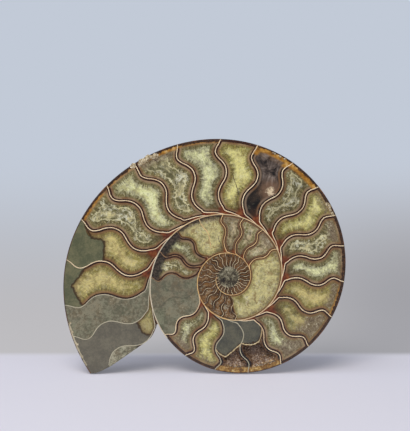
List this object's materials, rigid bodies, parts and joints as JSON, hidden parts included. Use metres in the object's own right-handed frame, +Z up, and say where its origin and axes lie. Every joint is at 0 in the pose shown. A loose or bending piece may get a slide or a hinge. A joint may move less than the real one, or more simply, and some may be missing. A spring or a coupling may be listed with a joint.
{
  "type": "ammonite fossil half on stand",
  "caption": "Cut and polished half of a coiled ammonite showing its chambers, leaning back on a small round-based steel display stand with felt pads.",
  "frame": {"origin": "on the table, under the middle of the whole object's outline", "axes": "+X to the right of someone who looks at the polished face, along its long side; +Y back, away from that person, through the thickness; +Z up"},
  "size_m": [0.1608, 0.0598, 0.1334],
  "materials": {
    "fossil": "polished sawn face, satin shell on the back",
    "stand_metal": "satin black powder coat",
    "felt": "dark grey pressed felt"
  },
  "bodies": {
    "root": {"fossil_half": "fossil", "upper_pad": "felt", "lower_pad": "felt", "upper_rest": "stand_metal", "lower_rest": "stand_metal", "stand_post": "stand_metal", "stand_base": "stand_metal", "base_felt": "felt"}
  },
  "joints": []
}
